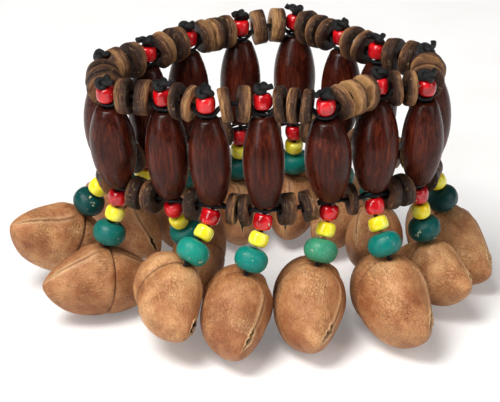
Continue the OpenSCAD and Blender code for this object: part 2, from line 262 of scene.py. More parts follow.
def new_finish(name):
    """A material with its tree, its shader and the piece's own axes in mm, moved apart for each piece."""
    made = bpy.data.materials.new(name)
    made.use_nodes = True
    tree = made.node_tree
    own = put(tree, "Attribute", attribute_name="own").outputs["Vector"]
    piece = mark_of(tree, "piece")
    apart = put(tree, "VectorMath", {0: (37.0, 91.0, 53.0), "Scale": piece}, operation="SCALE")
    moved = put(tree, "VectorMath", {0: own, 1: apart.outputs[0]}, operation="ADD").outputs[0]
    return made, tree, tree.nodes["Principled BSDF"], moved


def raise_by(tree, shader, height, depth):
    """Let a height, as a share of depth in metres, tilt the light on a surface."""
    bump = put(tree, "Bump", {"Height": height, "Distance": depth, "Strength": 1.0})
    tree.links.new(bump.outputs["Normal"], shader.inputs["Normal"])


def new_effect(name, sockets):
    """An empty effect with named inputs and outputs, each given as (name, way, kind, start value)."""
    tree = bpy.data.node_groups.new(name, "ShaderNodeTree")
    for label, way, kind, start in sockets:
        socket = tree.interface.new_socket(label, in_out=way, socket_type="NodeSocket" + kind)
        if start is not None:
            socket.default_value = start
    return tree, tree.nodes.new("NodeGroupInput").outputs, tree.nodes.new("NodeGroupOutput").inputs


def use_effect(tree, effect, sockets):
    return put(tree, "Group", sockets, node_tree=effect).outputs


# Long grain: fibres that run one way, as in cord, wood and shell. Stretch is small along the fibres.
long_grain, given, found = new_effect("long_grain", [
    ("Vector", "INPUT", "Vector", None),
    ("Stretch", "INPUT", "Vector", (1.0, 1.0, 0.1)),
    ("Scale", "INPUT", "Float", 1.0),
    ("Bands", "OUTPUT", "Float", None),
    ("Fibres", "OUTPUT", "Float", None),
])
drawn = put(long_grain, "VectorMath", {0: given["Vector"], 1: given["Stretch"]}, operation="MULTIPLY")
drawn = drawn.outputs[0]
bands = put(long_grain, "TexNoise", {
    "Vector": drawn, "Scale": given["Scale"], "Detail": 4.0, "Roughness": 0.55, "Distortion": 0.6,
})
finer = times(long_grain, given["Scale"], 4.5)
fibres = put(long_grain, "TexNoise", {"Vector": drawn, "Scale": finer, "Detail": 3.0, "Roughness": 0.65})
long_grain.links.new(bands.outputs["Fac"], found["Bands"])
long_grain.links.new(fibres.outputs["Fac"], found["Fibres"])

black_cord, tree, shader, own = new_finish("black_cord")
grain = use_effect(tree, long_grain, {"Vector": own, "Stretch": (0.5, 1.0, 1.0), "Scale": 2.2})
colour = shade_by(tree, grain["Bands"], [
    (0.3, tint(5, 5, 6)), (0.55, tint(12, 12, 14)), (0.8, tint(34, 35, 39)),
])
tree.links.new(colour, shader.inputs["Base Color"])
tree.links.new(between(tree, grain["Fibres"], 0.3, 0.7, 0.3, 0.55), shader.inputs["Roughness"])
shader.inputs["Specular IOR Level"].default_value = 0.35
raise_by(tree, shader, grain["Fibres"], 0.2 * MM)

for ring, posts, rise in (("upper_ring_cords", head, 2.4), ("lower_ring_cords", foot, -0.7)):
    pair = []
    for side in (-1, 1):
        line = smooth_line(ring_line(posts, side, rise), 0.6 * MM, True)
        pair.append(laid_cord(line, ring_cord_d * MM, 10, True, 0.3 + 0.2 * side))
    gather(ring + "_laid", pair, [black_cord], "ring", ring)

# Olive beads
# Fifteen turned hardwood beads, drilled lengthwise, stained a dark red-brown and varnished. Each stands on
# its own cord between the two rings and can be spun on it.


def lathe(profile, sides, uneven=0.0, lumps=0.2, seed=0.0):
    """A turned ring from a closed loop of (radius, height) points, in mm, with a little unevenness."""
    points, faces = [], []
    n = len(profile)
    for j in range(sides):
        around = 2 * math.pi * j / sides
        for r, z in profile:
            x, y = math.cos(around), math.sin(around)
            spot = Vector((x * r * lumps + seed, y * r * lumps - seed, z * lumps + 2 * seed))
            swell = 1 + uneven * noise.noise(spot)
            points.append((x * r * swell, y * r * swell, z))
        a, b = j * n, (j + 1) % sides * n
        for k in range(n):
            m = (k + 1) % n
            faces.append((a + k, b + k, b + m, a + m))
    return points, faces


def stand(spot, way, turn=0.0):
    """The place of a piece whose own z axis points along way at spot, turned about it."""
    lean = Vector(way).to_track_quat("Z", "Y").to_matrix().to_4x4()
    return Matrix.Translation(Vector(spot)) @ lean @ Matrix.Rotation(turn, 4, "Z")


def placed(shape, place, piece, finish=0, marks=None):
    """A part made in its own axes, in mm, put in its place in metres."""
    points, faces = shape
    turn = np.array(place.to_3x3())
    shift = np.array(place.translation)
    part = {
        "points": np.array(points) @ turn.T * MM + shift,
        "faces": faces,
        "own": points,
        "piece": piece,
        "finish": finish,
    }
    if marks:
        part["marks"] = marks
    return part


olive_wood, tree, shader, own = new_finish("olive_wood")
grain = use_effect(tree, long_grain, {"Vector": own, "Stretch": (1.0, 1.0, 0.06), "Scale": 1.5})
wood = shade_by(tree, grain["Bands"], [
    (0.26, tint(36, 10, 6)), (0.45, tint(62, 20, 12)), (0.6, tint(86, 32, 17)), (0.78, tint(122, 56, 29)),
])
# Stain has gathered in dark clouds, and most of all at the ends
clouds = put(tree, "TexNoise", {"Vector": own, "Scale": 0.16, "Detail": 3.0}).outputs["Fac"]
from_middle = put(tree, "Math", {0: mark_of(tree, "layer")}, operation="ABSOLUTE").outputs[0]
ends = between(tree, from_middle, 0.55, 1.0)
stain = plus(tree, between(tree, clouds, 0.38, 0.62, 0.0, 0.5), times(tree, ends, 0.45))
wood = over(tree, stain, wood, tint(34, 11, 8))
# The upper half is glossy, and the lower half is rubbed so that pale fibres show
lower_end = between(tree, mark_of(tree, "layer"), 0.15, -0.85)
rubbed = put(tree, "TexNoise", {"Vector": own, "Scale": 0.35, "Detail": 3.0}).outputs["Fac"]
lower_end = between(tree, lower_end, 0.0, 1.0, 0.25, 1.0)
rubbed = times(tree, lower_end, between(tree, rubbed, 0.35, 0.65))
scratches = times(tree, between(tree, grain["Fibres"], 0.54, 0.68), rubbed)
wood = over(tree, times(tree, scratches, 0.6), wood, tint(142, 84, 56))
tree.links.new(wood, shader.inputs["Base Color"])
gloss = between(tree, grain["Bands"], 0.3, 0.7, 0.2, 0.32)
tree.links.new(plus(tree, gloss, times(tree, rubbed, 0.2)), shader.inputs["Roughness"])
shader.inputs["Specular IOR Level"].default_value = 0.14
shader.inputs["Coat Weight"].default_value = 0.1
shader.inputs["Coat Roughness"].default_value = 0.1
drops = put(tree, "TexNoise", {"Vector": own, "Scale": 0.9, "Detail": 2.0}).outputs["Fac"]
raise_by(tree, shader, minus(tree, drops, times(tree, scratches, 0.4)), 0.1 * MM)

olive_end_d = 5.8


def olive_profile(wide, long):
    """The section of an olive bead: a long bow outside, rounded over at both ends, and a straight hole."""
    end = olive_end_d / 2
    rim = wide / 2 - end
    bow = ((long / 2) ** 2 + rim**2) / (2 * rim)
    profile = []
    for k in range(33):
        z = (k / 16 - 1) * (long / 2 - 0.5)
        profile.append((wide / 2 - bow + math.sqrt(bow**2 - z**2), z))
    profile += [(end - 0.06, long / 2 - 0.24), (end - 0.3, long / 2 - 0.06), (end - 0.65, long / 2)]
    profile += [(1.5, long / 2), (1.1, long / 2 - 0.3), (1.1, 0.3 - long / 2), (1.5, -long / 2)]
    profile += [(end - 0.65, -long / 2), (end - 0.3, 0.06 - long / 2), (end - 0.06, 0.24 - long / 2)]
    return profile


for i in range(PILLARS):
    from_foot = corners("olive_bead_" + number(i)) - foot[i]
    reach = from_foot @ upright[i]
    wide = 2 * np.linalg.norm(from_foot - np.outer(reach, upright[i]), axis=1).max() / MM
    long = (reach.max() - reach.min()) / MM
    shape = lathe(olive_profile(wide, long), 56, 0.02, 0.12, 3.1 * i)
    place = stand((foot[i] + head[i]) / 2, upright[i], 1.3 * i)
    high = [2 * p[2] / long for p in shape[0]]
    gather(
        "olive_" + number(i) + "_turned",
        [placed(shape, place, (i * 0.37) % 1, 0, {"layer": high})],
        [olive_wood], "olive_" + number(i), "olive_bead_" + number(i),
    )

# Red beads
# Small glazed clay beads, drawn as a tube and cut, so each is a little uneven. One sits on top of every
# upright under the knot, and one hangs just below the lower ring.


def solids(node):
    """The separate solids of a CAD node: corner points, and the triangles' centres, ways and areas."""
    points = corners(node)
    mesh = frame["nodes"][node].data
    mesh.calc_loop_triangles()
    same = np.unique(np.round(points * 1e6).astype(np.int64), axis=0, return_inverse=True)[1].ravel()
    leader = list(range(same.max() + 1))

    def lead(a):
        while leader[a] != a:
            leader[a] = leader[leader[a]]
            a = leader[a]
        return a

    for triangle in mesh.loop_triangles:
        a, b, c = (same[k] for k in triangle.vertices)
        leader[lead(a)] = lead(b)
        leader[lead(b)] = lead(c)
    found = {}
    for triangle in mesh.loop_triangles:
        found.setdefault(lead(same[triangle.vertices[0]]), []).append(triangle)
    made = []
    for triangles in found.values():
        made.append({
            "points": points[sorted({k for t in triangles for k in t.vertices})],
            "centres": np.array([points[list(t.vertices)].mean(axis=0) for t in triangles]),
            "ways": np.array([t.normal for t in triangles]),
            "areas": np.array([t.area for t in triangles]),
        })
    return made


def bead_middle(beads, start, way):
    """The middle of the bead that is threaded nearest to start, on the line through start along way."""
    bead = min(beads, key=lambda b: np.linalg.norm(b["points"].mean(axis=0) - start))
    along = (bead["points"] - start) @ way
    return start + way * (along.min() + along.max()) / 2


def bead_profile(wide, tall, hole, flat=0.62, crown=0.8):
    """The section of a drilled bead: a rounded band outside, a straight hole inside."""
    outside = []
    for k in range(19):
        a = math.radians(-90 + 10 * k)
        out = max(math.cos(a), 0.0) ** flat
        lift = math.copysign(abs(math.sin(a)) ** crown, math.sin(a))
        outside.append((hole + (wide / 2 - hole) * out, tall / 2 * lift))
    return outside


# Worn spots: where a glaze or a paint has been knocked off, and how the rest of it has been rubbed.
worn_spots, given, found = new_effect("worn_spots", [
    ("Vector", "INPUT", "Vector", None),
    ("Scale", "INPUT", "Float", 0.6),
    ("Amount", "INPUT", "Float", 0.3),
    ("Chips", "OUTPUT", "Float", None),
    ("Rubbing", "OUTPUT", "Float", None),
])
patches = put(worn_spots, "TexNoise", {
    "Vector": given["Vector"], "Scale": given["Scale"], "Detail": 5.0, "Roughness": 0.62,
})
start = minus(worn_spots, 0.82, given["Amount"])
chips = between(worn_spots, patches.outputs["Fac"], start, plus(worn_spots, start, 0.04))
wide_rub = times(worn_spots, given["Scale"], 0.5)
rubbing = put(worn_spots, "TexNoise", {"Vector": given["Vector"], "Scale": wide_rub, "Detail": 3.0})
worn_spots.links.new(chips, found["Chips"])
worn_spots.links.new(rubbing.outputs["Fac"], found["Rubbing"])


def over_value(tree, share, under, top):
    return put(tree, "Mix", {0: share, 2: under, 3: top}, data_type="FLOAT").outputs[0]


def glazed(name, deep, fresh, thin, clay, amount):
    """A glossy glaze that is deeper where it ran thick, thinner in other patches, and chipped to the clay.
    """
    made, tree, shader, own = new_finish(name)
    wear = use_effect(tree, worn_spots, {"Vector": own, "Scale": 0.55, "Amount": amount})
    colour = shade_by(tree, wear["Rubbing"], [(0.32, deep), (0.5, fresh), (0.72, thin)])
    colour = over(tree, wear["Chips"], colour, clay)
    tree.links.new(colour, shader.inputs["Base Color"])
    gloss = between(tree, wear["Rubbing"], 0.35, 0.65, 0.12, 0.26)
    tree.links.new(over_value(tree, wear["Chips"], gloss, 0.7), shader.inputs["Roughness"])
    left = minus(tree, 1.0, wear["Chips"])
    tree.links.new(times(tree, left, 0.3), shader.inputs["Coat Weight"])
    shader.inputs["Coat Roughness"].default_value = 0.06
    raise_by(tree, shader, plus(tree, left, times(tree, wear["Rubbing"], 0.6)), 0.1 * MM)
    return made


red_glaze = glazed(
    "red_glaze", tint(158, 5, 14), tint(212, 14, 26), tint(232, 34, 40), tint(238, 214, 196), 0.165,
)
red_d = 5.0
red_h = 4.3
dice = random.Random(4)
swing = [np.array(joint["pendant_swing_" + number(i)]["pos_m"]) for i in range(PILLARS)]
tie = [np.array(joint["nutshell_rock_" + number(i)]["pos_m"]) for i in range(PILLARS)]
strand = [unit(tie[i] - swing[i]) for i in range(PILLARS)]
below = [unit(strand[i] - upright[i]) for i in range(PILLARS)]
top_red, low_red = [], []
top_beads, low_beads = solids("top_red_beads"), solids("lower_red_beads")
for i in range(PILLARS):
    top_red.append(bead_middle(top_beads, head[i], upright[i]))
    low_red.append(bead_middle(low_beads, foot[i], below[i]))
for node, spots, ways in (("top_red_beads", top_red, upright), ("lower_red_beads", low_red, below)):
    parts = []
    for i in range(PILLARS):
        profile = bead_profile(red_d * dice.uniform(0.97, 1.03), red_h * dice.uniform(0.95, 1.0), 0.95)
        shape = lathe(profile, 36, 0.07, 0.3, 1.7 * i)
        parts.append(placed(shape, stand(spots[i], ways[i], dice.uniform(0, 6)), dice.random()))
    gather(node + "_glazed", parts, [red_glaze], "ring", node)

# Upright cords
# One waxed black cord runs through each upright and the small beads below it. On top it ends in an overhand
# knot, pulled tight on the red bead and cut short.

knot_loop = 0.62
knot_lift = red_h / 2 + 1.1


def knot_turn(degrees):
    """The line of an overhand knot, in mm."""
    s = math.radians(degrees)
    return (
        knot_loop * (math.sin(s) + 2 * math.sin(2 * s)),
        knot_loop * (math.cos(s) - 2 * math.cos(2 * s)),
        knot_loop * 1.15 * math.sin(3 * s),
    )


parts = []
for i in range(PILLARS):
    run = [
        swing[i],
        low_red[i] + below[i] * 2.4 * MM,
        low_red[i],
        foot[i],
        head[i],
        top_red[i] + upright[i] * 1.5 * MM,
    ]
    parts.append(laid_cord(smooth_line(run, 0.7 * MM), 1.1 * MM, 10, piece=dice.random()))
    place = np.array(stand(top_red[i] + upright[i] * knot_lift * MM, upright[i], 1.34 * i))
    stub = knot_turn(285)
    turns = [(0.0, 0.0, -1.6), (0.0, -0.3, -0.7)]
    turns += [knot_turn(s) for s in range(0, 286, 15)]
    turns += [
        (stub[0] - 0.7, stub[1] - 0.15, stub[2] + 0.1),
        (stub[0] - 1.2, stub[1] - 0.5 + 0.6 * dice.random(), stub[2] + 0.2 + 0.5 * dice.random()),
    ]
    turns = [place[:3, :3] @ np.array(p) * MM + place[:3, 3] for p in turns]
    parts.append(laid_cord(smooth_line(turns, 0.3 * MM), 1.5 * MM, 12, piece=dice.random()))
gather("pillar_cords_knotted", parts, [black_cord], "ring", "pillar_cords")

# Coconut discs
# Rings sawn and drilled from coconut shell. The outside of the shell is dark and the inside is golden and
# flecked with fibres, so the sawn edge runs from one to the other. They ride loose on the ring cords.

coconut, tree, shader, own = new_finish("coconut")
layer = mark_of(tree, "layer")
edge_grain = use_effect(tree, long_grain, {"Vector": own, "Stretch": (0.22, 0.22, 1.8), "Scale": 1.3})
flecks = use_effect(tree, long_grain, {"Vector": own, "Stretch": (1.0, 0.3, 1.0), "Scale": 1.6})
streaks = minus(tree, edge_grain["Bands"], 0.5)
depth = plus(tree, layer, times(tree, streaks, 4.6))
depth = plus(tree, between(tree, depth, -1.2, 1.2), mark_of(tree, "shade"))
shell = shade_by(tree, depth, [
    (0.0, tint(42, 23, 15)), (0.35, tint(84, 53, 35)), (0.62, tint(132, 90, 58)), (1.0, tint(194, 146, 96)),
])
dark_fleck = between(tree, flecks["Fibres"], 0.55, 0.66)
shell = over(tree, times(tree, dark_fleck, 0.8), shell, tint(46, 27, 18))
pale_fleck = between(tree, flecks["Bands"], 0.58, 0.72)
shell = over(tree, times(tree, pale_fleck, 0.45), shell, tint(206, 168, 116))
tree.links.new(shell, shader.inputs["Base Color"])
tree.links.new(between(tree, flecks["Bands"], 0.3, 0.7, 0.34, 0.6), shader.inputs["Roughness"])
shader.inputs["Specular IOR Level"].default_value = 0.3
raise_by(tree, shader, minus(tree, edge_grain["Fibres"], dark_fleck), 0.2 * MM)


def disc_profile(wide, thick, hole):
    """A flat ring with rubbed edges and faces that are a little hollow."""
    r, h, inner = wide / 2, thick / 2, hole / 2
    half = [(inner, h * 0.6), (inner + 0.15, h - 0.05), (inner + 0.5, h), ((r + inner) / 2, h - 0.05)]
    half += [(r - 0.7, h), (r - 0.25, h - 0.06), (r - 0.06, h - 0.3), (r, h * 0.35)]
    return [(a, -b) for a, b in half] + [(a, b) for a, b in reversed(half)]


dice = random.Random(12)
# Each disc gets its own tone at random; the lower ring's discs are given a darker range, painted shade on
# the lower ring
for node, hole, dark, pale in (("upper_discs", 3.3, -0.32, 0.2), ("lower_discs", 3.0, -0.55, -0.08)):
    parts = []
    for sawn in solids(node):
        points = sawn["points"]
        centre = np.average(sawn["centres"], axis=0, weights=sawn["areas"])
        facing = (sawn["ways"].T * sawn["areas"]) @ sawn["ways"]
        way = np.linalg.eigh(facing)[1][:, 2] * (1 if dice.random() < 0.5 else -1)
        along = (points - centre) @ way
        across = np.linalg.norm(points - centre - np.outer(along, way), axis=1)
        # Sawn a little full, so that the discs of one gap sit close
        thick = 2.08 * along.max() / MM
        wide = 2 * across.max() / MM * dice.uniform(0.97, 1.02)
        shape = lathe(disc_profile(wide, thick, hole), 44, 0.08, 0.35, dice.uniform(0, 50))
        layers = [2 * p[2] / thick for p in shape[0]]
        place = stand(centre, way, dice.uniform(0, 6))
        disc_tone_and_shade = [dice.uniform(dark, pale)] * len(layers)
        parts.append(placed(shape, place, dice.random(), 0, {"layer": layers, "shade": disc_tone_and_shade}))
    gather(node + "_sawn", parts, [coconut], "ring", node)

# Yellow beads
# Cut from the same kind of glazed clay tube as the red ones, a little wider and flatter. One is threaded on
# each upright's cord below the lower red bead, and what hangs below it swings.

yellow_glaze = glazed(
    "yellow_glaze", tint(248, 218, 22), tint(255, 243, 54), tint(255, 249, 128), tint(252, 244, 214), 0.12,
)
yellow_d = 5.2
yellow_h = 3.9
yellow_beads = solids("yellow_beads")
parts = []
for i in range(PILLARS):
    profile = bead_profile(yellow_d * dice.uniform(0.97, 1.03), yellow_h * dice.uniform(0.95, 1.0), 0.95)
    shape = lathe(profile, 36, 0.07, 0.3, 2.3 * i)
    spot = bead_middle(yellow_beads, swing[i], strand[i])
    parts.append(placed(shape, stand(spot, strand[i], dice.uniform(0, 6)), dice.random()))
gather("yellow_beads_glazed", parts, [yellow_glaze], "ring", "yellow_beads")

# Green beads
# Turned wooden beads dipped in green paint, no two of the same green, and chipped round the holes. The end
# of the upright's cord comes through each one into its nutshell and is held there by a knot.

green_paint, tree, shader, own = new_finish("green_paint")
wear = use_effect(tree, worn_spots, {"Vector": own, "Scale": 0.5, "Amount": 0.175})
grain = use_effect(tree, long_grain, {"Vector": own, "Stretch": (1.0, 1.0, 0.2), "Scale": 0.8})
green = shade_by(tree, mark_of(tree, "shade"), [
    (0.0, tint(1, 54, 56)), (0.35, tint(2, 94, 88)), (0.65, tint(4, 128, 118)), (0.85, tint(16, 142, 126)),
    (1.0, tint(62, 146, 112)),
])
rubbed = between(tree, wear["Rubbing"], 0.4, 0.75, 0.0, 0.3)
green = over(tree, rubbed, green, tint(120, 190, 160), "SOFT_LIGHT")
green = over(tree, between(tree, grain["Fibres"], 0.5, 0.75, 0.0, 0.5), green, tint(2, 40, 42))
green = over(tree, wear["Chips"], green, tint(188, 196, 164))
tree.links.new(green, shader.inputs["Base Color"])
gloss = between(tree, wear["Rubbing"], 0.35, 0.65, 0.24, 0.44)
tree.links.new(over_value(tree, wear["Chips"], gloss, 0.75), shader.inputs["Roughness"])
shader.inputs["Specular IOR Level"].default_value = 0.3
raise_by(tree, shader, minus(tree, grain["Fibres"], wear["Chips"]), 0.08 * MM)

green_d = 8.7
green_h = 6.15
green_gap = 0.4
stopper_in = 5.6
# From dark petrol, 0, to pale jade, 1, in the order of the uprights
green_shades = (0.68, 1.0, 0.58, 0.2, 0.05, 0.2, 0.4, 0.6, 0.3, 0.5, 0.25, 0.1, 0.42, 0.45, 0.85)
for i in range(PILLARS):
    shape = lathe(bead_profile(green_d, green_h, 1.15, 0.85, 0.95), 48, 0.045, 0.18, 4.1 * i)
    spot = swing[i] + strand[i] * (green_gap + green_h / 2) * MM
    paint = [green_shades[i]] * len(shape[0])
    parts = [placed(shape, stand(spot, strand[i], dice.uniform(0, 6)), dice.random(), 0, {"shade": paint})]
    inside = tie[i] + strand[i] * stopper_in * MM
    run = smooth_line([swing[i] + strand[i] * 0.3 * MM, tie[i], inside], 0.6 * MM)
    parts.append(laid_cord(run, 1.1 * MM, 10, piece=dice.random(), finish=1))
    place = np.array(stand(inside, strand[i], 0.9 * i))
    knot = [place[:3, :3] @ np.array(knot_turn(s)) * 0.5 * MM + place[:3, 3] for s in range(0, 346, 15)]
    parts.append(laid_cord(smooth_line(knot, 0.4 * MM), 1.0 * MM, 8, piece=dice.random(), finish=1))
    gather(
        "green_" + number(i) + "_painted", parts, [green_paint, black_cord],
        "pendant_" + number(i), "green_bead_" + number(i),
    )

# Nutshells
# Hollow dried shells of a two-lobed nut, drilled at the waist and tied there. Each has a crease round its
# waist, painted darker there as painted shade in the fold, a pale ridge over each lobe, and a ragged split
# at each tip, where the kernel came out.

nutshell, tree, shader, own = new_finish("nutshell")
grain = use_effect(tree, long_grain, {"Vector": own, "Stretch": (0.3, 1.0, 1.0), "Scale": 0.6})
mottle = put(tree, "TexNoise", {"Vector": own, "Scale": 0.13, "Detail": 5.0, "Roughness": 0.6})
skin = shade_by(tree, mottle.outputs["Fac"], [
    (0.32, tint(160, 98, 56)), (0.44, tint(192, 132, 84)),
    (0.56, tint(212, 156, 105)), (0.7, tint(230, 182, 132)),
])
skin = over(tree, between(tree, grain["Bands"], 0.42, 0.68, 0.0, 0.4), skin, tint(226, 178, 126))
blush = put(tree, "TexNoise", {"Vector": own, "Scale": 0.1, "Detail": 3.0, "Roughness": 0.7}).outputs["Fac"]
skin = over(tree, between(tree, blush, 0.5, 0.66, 0.0, 0.6), skin, tint(156, 86, 49))
skin = over(tree, between(tree, grain["Fibres"], 0.5, 0.66, 0.0, 0.5), skin, tint(140, 86, 50))
# The skin has dried into a net of fine wrinkles, deeper in some places than in others
drawn = put(tree, "VectorMath", {0: own, 1: (0.5, 1.0, 1.0)}, operation="MULTIPLY").outputs[0]
wander = put(tree, "TexNoise", {"Vector": own, "Scale": 0.7, "Detail": 3.0}).outputs["Color"]
drawn = put(tree, "VectorMath", {0: wander, 1: (1.5, 1.5, 1.5), 2: drawn}, operation="MULTIPLY_ADD")
net = put(tree, "TexVoronoi", {"Vector": drawn.outputs[0], "Scale": 1.15}, feature="DISTANCE_TO_EDGE")
net = net.outputs["Distance"]
places = put(tree, "TexNoise", {"Vector": own, "Scale": 0.17, "Detail": 2.0}).outputs["Fac"]
deep = between(tree, places, 0.4, 0.62, 0.15, 1.0)
wrinkles = times(tree, between(tree, net, 0.0, 0.16, 1.0, 0.0), deep)
# The furrows of the wrinkle net are painted darker: painted shade in the furrows
skin = over(tree, times(tree, wrinkles, 0.2), skin, tint(132, 82, 48))
specks = put(tree, "TexNoise", {"Vector": own, "Scale": 2.4, "Detail": 2.0}).outputs["Fac"]
specks = between(tree, specks, 0.62, 0.7)
skin = over(tree, times(tree, specks, 0.3), skin, tint(108, 66, 40))
# Each shell is darkened by its own share: partly a deeper tan, partly painted shade on the less lit nuts
skin = over(tree, mark_of(tree, "tan"), skin, tint(196, 170, 154), "MULTIPLY")
skin = over(tree, times(tree, mark_of(tree, "ridge"), 0.5), skin, tint(232, 194, 148))
skin = over(tree, times(tree, mark_of(tree, "seam"), 0.75), skin, tint(112, 70, 43))
skin = over(tree, times(tree, mark_of(tree, "lip"), 0.6), skin, tint(228, 194, 146))
# The crease mark darkens the waist: painted shade in the fold
skin = over(tree, times(tree, mark_of(tree, "crease"), 0.7), skin, tint(104, 62, 38))
tree.links.new(skin, shader.inputs["Base Color"])
tree.links.new(between(tree, grain["Bands"], 0.3, 0.7, 0.4, 0.58), shader.inputs["Roughness"])
shader.inputs["Specular IOR Level"].default_value = 0.35
hollows = plus(tree, wrinkles, times(tree, specks, 0.5))
raise_by(tree, shader, minus(tree, grain["Fibres"], hollows), 0.18 * MM)

# The inside of the shell is painted dark brown: painted shade in the hollow behind the splits
shell_inside_shade, tree, shader, own = new_finish("shell_inside_shade")
grain = use_effect(tree, long_grain, {"Vector": own, "Stretch": (0.3, 1.0, 1.0), "Scale": 0.8})
inner = shade_by(tree, grain["Bands"], [
    (0.3, tint(34, 20, 13)), (0.55, tint(58, 36, 22)), (0.8, tint(84, 56, 36)),
])
tree.links.new(inner, shader.inputs["Base Color"])
tree.links.new(between(tree, grain["Fibres"], 0.3, 0.7, 0.55, 0.8), shader.inputs["Roughness"])
raise_by(tree, shader, grain["Fibres"], 0.1 * MM)

shell_edge, tree, shader, own = new_finish("shell_edge")
grain = use_effect(tree, long_grain, {"Vector": own, "Stretch": (1.0, 1.0, 1.0), "Scale": 1.4})
broken = shade_by(tree, grain["Bands"], [
    (0.3, tint(138, 94, 58)), (0.5, tint(190, 150, 106)), (0.75, tint(224, 194, 150)),
])
tree.links.new(broken, shader.inputs["Base Color"])
tree.links.new(between(tree, grain["Fibres"], 0.3, 0.7, 0.5, 0.75), shader.inputs["Roughness"])
raise_by(tree, shader, grain["Fibres"], 0.12 * MM)

nut_half_l, nut_half_t, nut_half_h = 17.5, 8.6, 10.2
nut_droop, nut_lean, nut_wall = 2.2, 1.4, 1.2
# The crease lies a little behind the tie hole, and the mesh is finest there, at the ridge and at the tips
crease_at = -0.05
by_crease = [0.005, 0.011, 0.018, 0.028, 0.042, 0.062, 0.09, 0.13, 0.175]
nut_rows = [crease_at + side * f for side in (-1, 1) for f in by_crease] + [crease_at, 0.17, 0.22]
nut_rows += [side * (0.27 + 0.05 * k) for side in (-1, 1) for k in range(8)]
nut_rows += [side * (0.645 + 0.0172 * k) for side in (-1, 1) for k in range(20)] + [-0.985, 0.985]
nut_rows.sort()
by_ridge = [0.0, 1.5, 3.0, 4.5, 6.5, 9.0, 12.0, 16.0, 21.0, 27.0]
nut_turns = by_ridge + [33.0 + 6 * k for k in range(50)] + [360 - t for t in reversed(by_ridge)]


def bell(value, wide):
    return math.exp(-((value / wide) ** 2))


def rising(value, low, high):
    """0 up to low, 1 from high on, and a smooth rise between them."""
    t = min(max((value - low) / (high - low), 0.0), 1.0)
    return t * t * (3 - 2 * t)


def nut_shape(seed, lean_way, ridge_way, gape, tan):
    """A two-lobed shell, open along the split at each tip, in mm. Returns its points, faces and marks."""
    dice = random.Random(seed)
    plump = {-1: dice.uniform(0.97, 1.0), 1: dice.uniform(0.98, 1.01)}
    columns = len(nut_turns)
    points = []
    marks = {"ridge": [], "seam": [], "lip": [], "crease": []}
    lean_y, lean_z = math.cos(math.radians(lean_way)), math.sin(math.radians(lean_way))
    for f in nut_rows:
        a = abs(f)
        swell = plump[1 if f > crease_at else -1] * (1 - a**1.85) ** 0.7
        pinch = bell(f - crease_at, 0.014)
        valley = bell(f - crease_at, 0.055)
        lean = nut_lean * (a**2 - 0.6 * math.sin(math.pi * a))
        on_lobe = rising(a, 0.04, 0.3)
        # The split runs over the ridge, from two thirds of the way out almost to the tip
        split = math.sin(math.pi * min(max((a - 0.69) / 0.282, 0.0), 1.0))
        # The ridge runs down from the tie hole and over to its own side of the lobe
        ridge_at = ridge_way + (75 - ridge_way) * bell(a, 0.22)
        for turned in nut_turns:
            side = 1 if turned < 180 else -1
            apart = min(turned, 360 - turned)
            around = math.radians(ridge_at + turned)
            y, z = math.cos(around), math.sin(around)
            spot = Vector((f * nut_half_l, y * nut_half_t * swell, z * nut_half_h * swell))
            lump = noise.noise(spot * 0.12 + Vector((seed * 9.1, 0, 0)))
            grainy = noise.noise(spot * 0.7 + Vector((0, seed * 5.3, 0)))
            crease_depth = 0.75 + 0.5 * noise.noise(spot * 0.3 + Vector((seed * 2.9, 3.0, 0)))
            size = 1 + 0.035 * lump + 0.007 * grainy - 0.045 * pinch * crease_depth - 0.025 * valley
            size += (0.07 if f > 0 else 0.0) * bell(a - 0.24, 0.12) * max(0.0, z) ** 2
            size += on_lobe * (0.035 * bell(apart, 26) + 0.045 * bell(apart, 7) - 0.02 * bell(apart, 2.2))
            size += 0.04 * split * bell(apart, 5)
            tear = gape * split * (0.8 + 0.7 * noise.noise(Vector((f * 30, seed * 3.7, side * 4.0))))
            shift = side * tear / 2 * bell(apart, 15) if split > 0 else 0.0
            down = nut_droop * a**1.5
            x = f * nut_half_l
            across = nut_half_t * swell * size * y - shift * z + lean * lean_y
            tall = nut_half_h * swell * size * z + shift * y + lean * lean_z - down
            from_tie = math.hypot(x, across)
            # A dimple where the nut is tied
            if tall > 0 and from_tie < 1.7:
                tall -= 0.5 * (1 - (from_tie / 1.7) ** 2)
            points.append((x, across, tall))
            marks["ridge"].append(on_lobe * bell(apart - 5, 4) * (0.4 + 0.6 * a))
            marks["seam"].append(on_lobe * bell(apart, 2.2))
            marks["lip"].append(min(1.0, gape / 1.6) * rising(split, 0.0, 0.4) * bell(apart, 3.5))
            # Painted shade in the waist crease: a narrow dark line in the fold and a broader darkening
            # beside it
            marks["crease"].append(min(1.0, crease_depth * bell(f - crease_at, 0.012) + 0.22 * valley))
    # The two sides of the ridge are joined where they meet, and stay apart along the splits
    rows = len(nut_rows)
    same = list(range(rows * columns))
    for r in range(rows):
        a, b = r * columns, (r + 1) * columns - 1
        if np.linalg.norm(np.array(points[a]) - points[b]) < 1e-6:
            same[b] = a
    faces = []
    for r in range(rows - 1):
        for j in range(columns - 1):
            a, b = r * columns + j, (r + 1) * columns + j
            faces.append(tuple(same[k] for k in (a, a + 1, b + 1, b)))
    for end, row in ((-1, 0), (1, rows - 1)):
        tip = len(points)
        points.append((end * nut_half_l * 0.997, nut_lean * lean_y, nut_lean * lean_z - nut_droop))
        for mark in marks:
            marks[mark].append(0.0)
        same.append(tip)
        for j in range(columns - 1):
            a, b = same[row * columns + j], same[row * columns + j + 1]
            faces.append((tip, b, a) if end < 0 else (tip, a, b))
    used = sorted({k for face in faces for k in face})
    renumber = {k: n for n, k in enumerate(used)}
    faces = [tuple(renumber[k] for k in face) for face in faces]
    marks = {mark: [values[k] for k in used] for mark, values in marks.items()}
    marks["tan"] = [tan] * len(used)
    return ([points[k] for k in used], faces), marks
